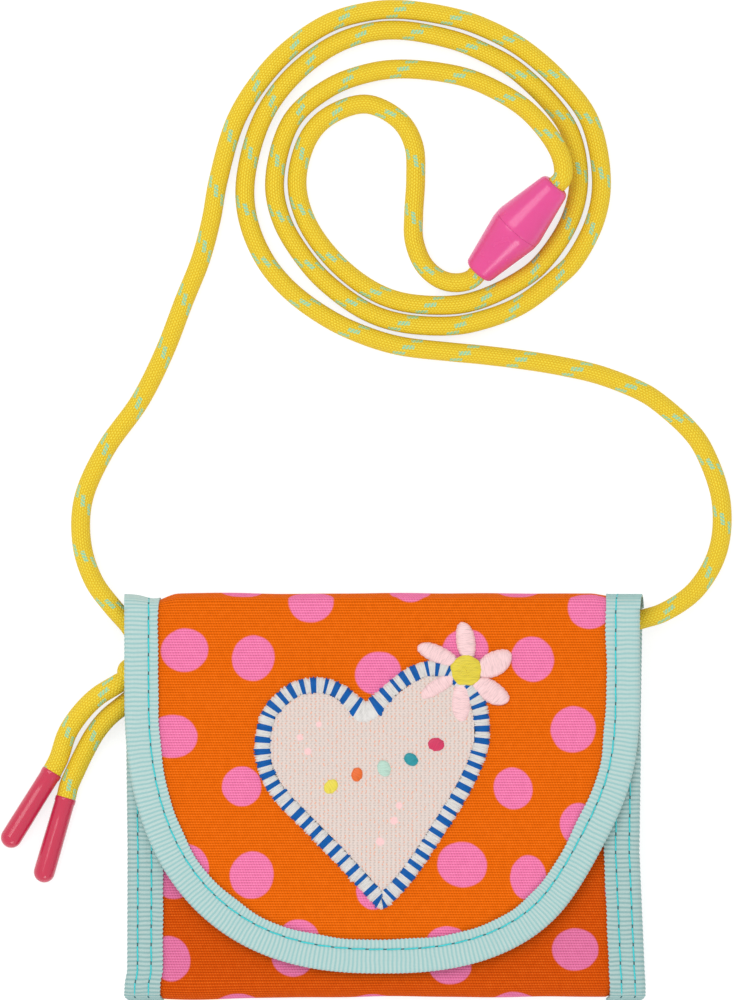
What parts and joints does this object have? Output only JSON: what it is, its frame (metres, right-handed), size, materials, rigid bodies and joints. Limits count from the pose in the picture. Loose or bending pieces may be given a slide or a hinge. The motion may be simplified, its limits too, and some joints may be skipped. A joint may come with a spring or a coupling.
{
  "type": "neck wallet",
  "caption": "Fold-over cloth wallet with a round bound flap, heart patch and flower, on a braided neck cord with a pull-apart clasp, a knot and moulded cord tips.",
  "frame": {"origin": "on the table, under the middle of the closed wallet, which lies on its back", "axes": "+X across the wallet to its right, +Y up the wallet to its top fold, +Z out of its front"},
  "size_m": [0.1825, 0.2491, 0.0155],
  "materials": {
    "orange_cloth": "printed woven cotton, matt",
    "lining_cloth": "plain woven lining, matt",
    "mint_tape": "ribbed grosgrain tape",
    "cream_thread": "dense embroidery thread",
    "blue_thread": "satin embroidery thread, slight sheen",
    "petal_thread": "satin embroidery thread, slight sheen",
    "yellow_thread": "satin embroidery thread, slight sheen",
    "hook_pad": "nylon hooks",
    "loop_pad": "napped nylon loops",
    "yellow_braid": "round braided cord",
    "pink_plastic": "moulded, glossy",
    "crimson_plastic": "moulded, glossy"
  },
  "bodies": {
    "pouch": {"back_panel": "orange_cloth", "bottom_fold": "orange_cloth", "front_panel": "orange_cloth", "back_lining": "lining_cloth", "lining_fold": "lining_cloth", "front_lining": "lining_cloth", "side_tape_left": "mint_tape", "side_tape_right": "mint_tape", "mouth_tape": "mint_tape", "card_pocket": "lining_cloth", "card_pocket_hem": "mint_tape", "cord_channel": "mint_tape", "hook_pad": "hook_pad", "clasp_socket": "pink_plastic", "cord_tip_1": "crimson_plastic", "cord_tip_2": "crimson_plastic", "cord_knot": "yellow_braid", "cord_left": "yellow_braid", "cord_right": "yellow_braid", "cord_end": "yellow_braid", "cord_tail_1": "yellow_braid", "cord_tail_2": "yellow_braid"},
    "fold": {"fold_cloth": "orange_cloth", "fold_lining": "lining_cloth", "fold_tape_left": "mint_tape", "fold_tape_right": "mint_tape"},
    "flap": {"flap_panel": "orange_cloth", "flap_lining": "lining_cloth", "flap_tape": "mint_tape", "loop_pad": "loop_pad", "heart_border": "blue_thread", "heart_patch": "cream_thread", "flower": "petal_thread", "flower_centre": "yellow_thread"},
    "clasp": {"clasp_plug": "pink_plastic"}
  },
  "joints": [
    {"name": "fold_lower", "type": "hinge", "parent": "pouch", "child": "fold", "pos_m": [0, 0.0488, 0.0012], "axis": [-1, 0, 0], "range_deg": [0, 85]},
    {"name": "flap_fold", "type": "hinge", "parent": "fold", "child": "flap", "pos_m": [0, 0.0488, 0.0132], "axis": [-1, 0, 0], "range_deg": [0, 85]},
    {"name": "clasp_release", "type": "slide", "parent": "pouch", "child": "clasp", "axis": [0.6553, 0.7289, 0.1982], "range_m": [0, 0.008], "deforming": ["cord_end"]}
  ],
  "couplings": [
    {"joint": "fold_lower", "follows": "flap_fold", "ratio": 1}
  ]
}
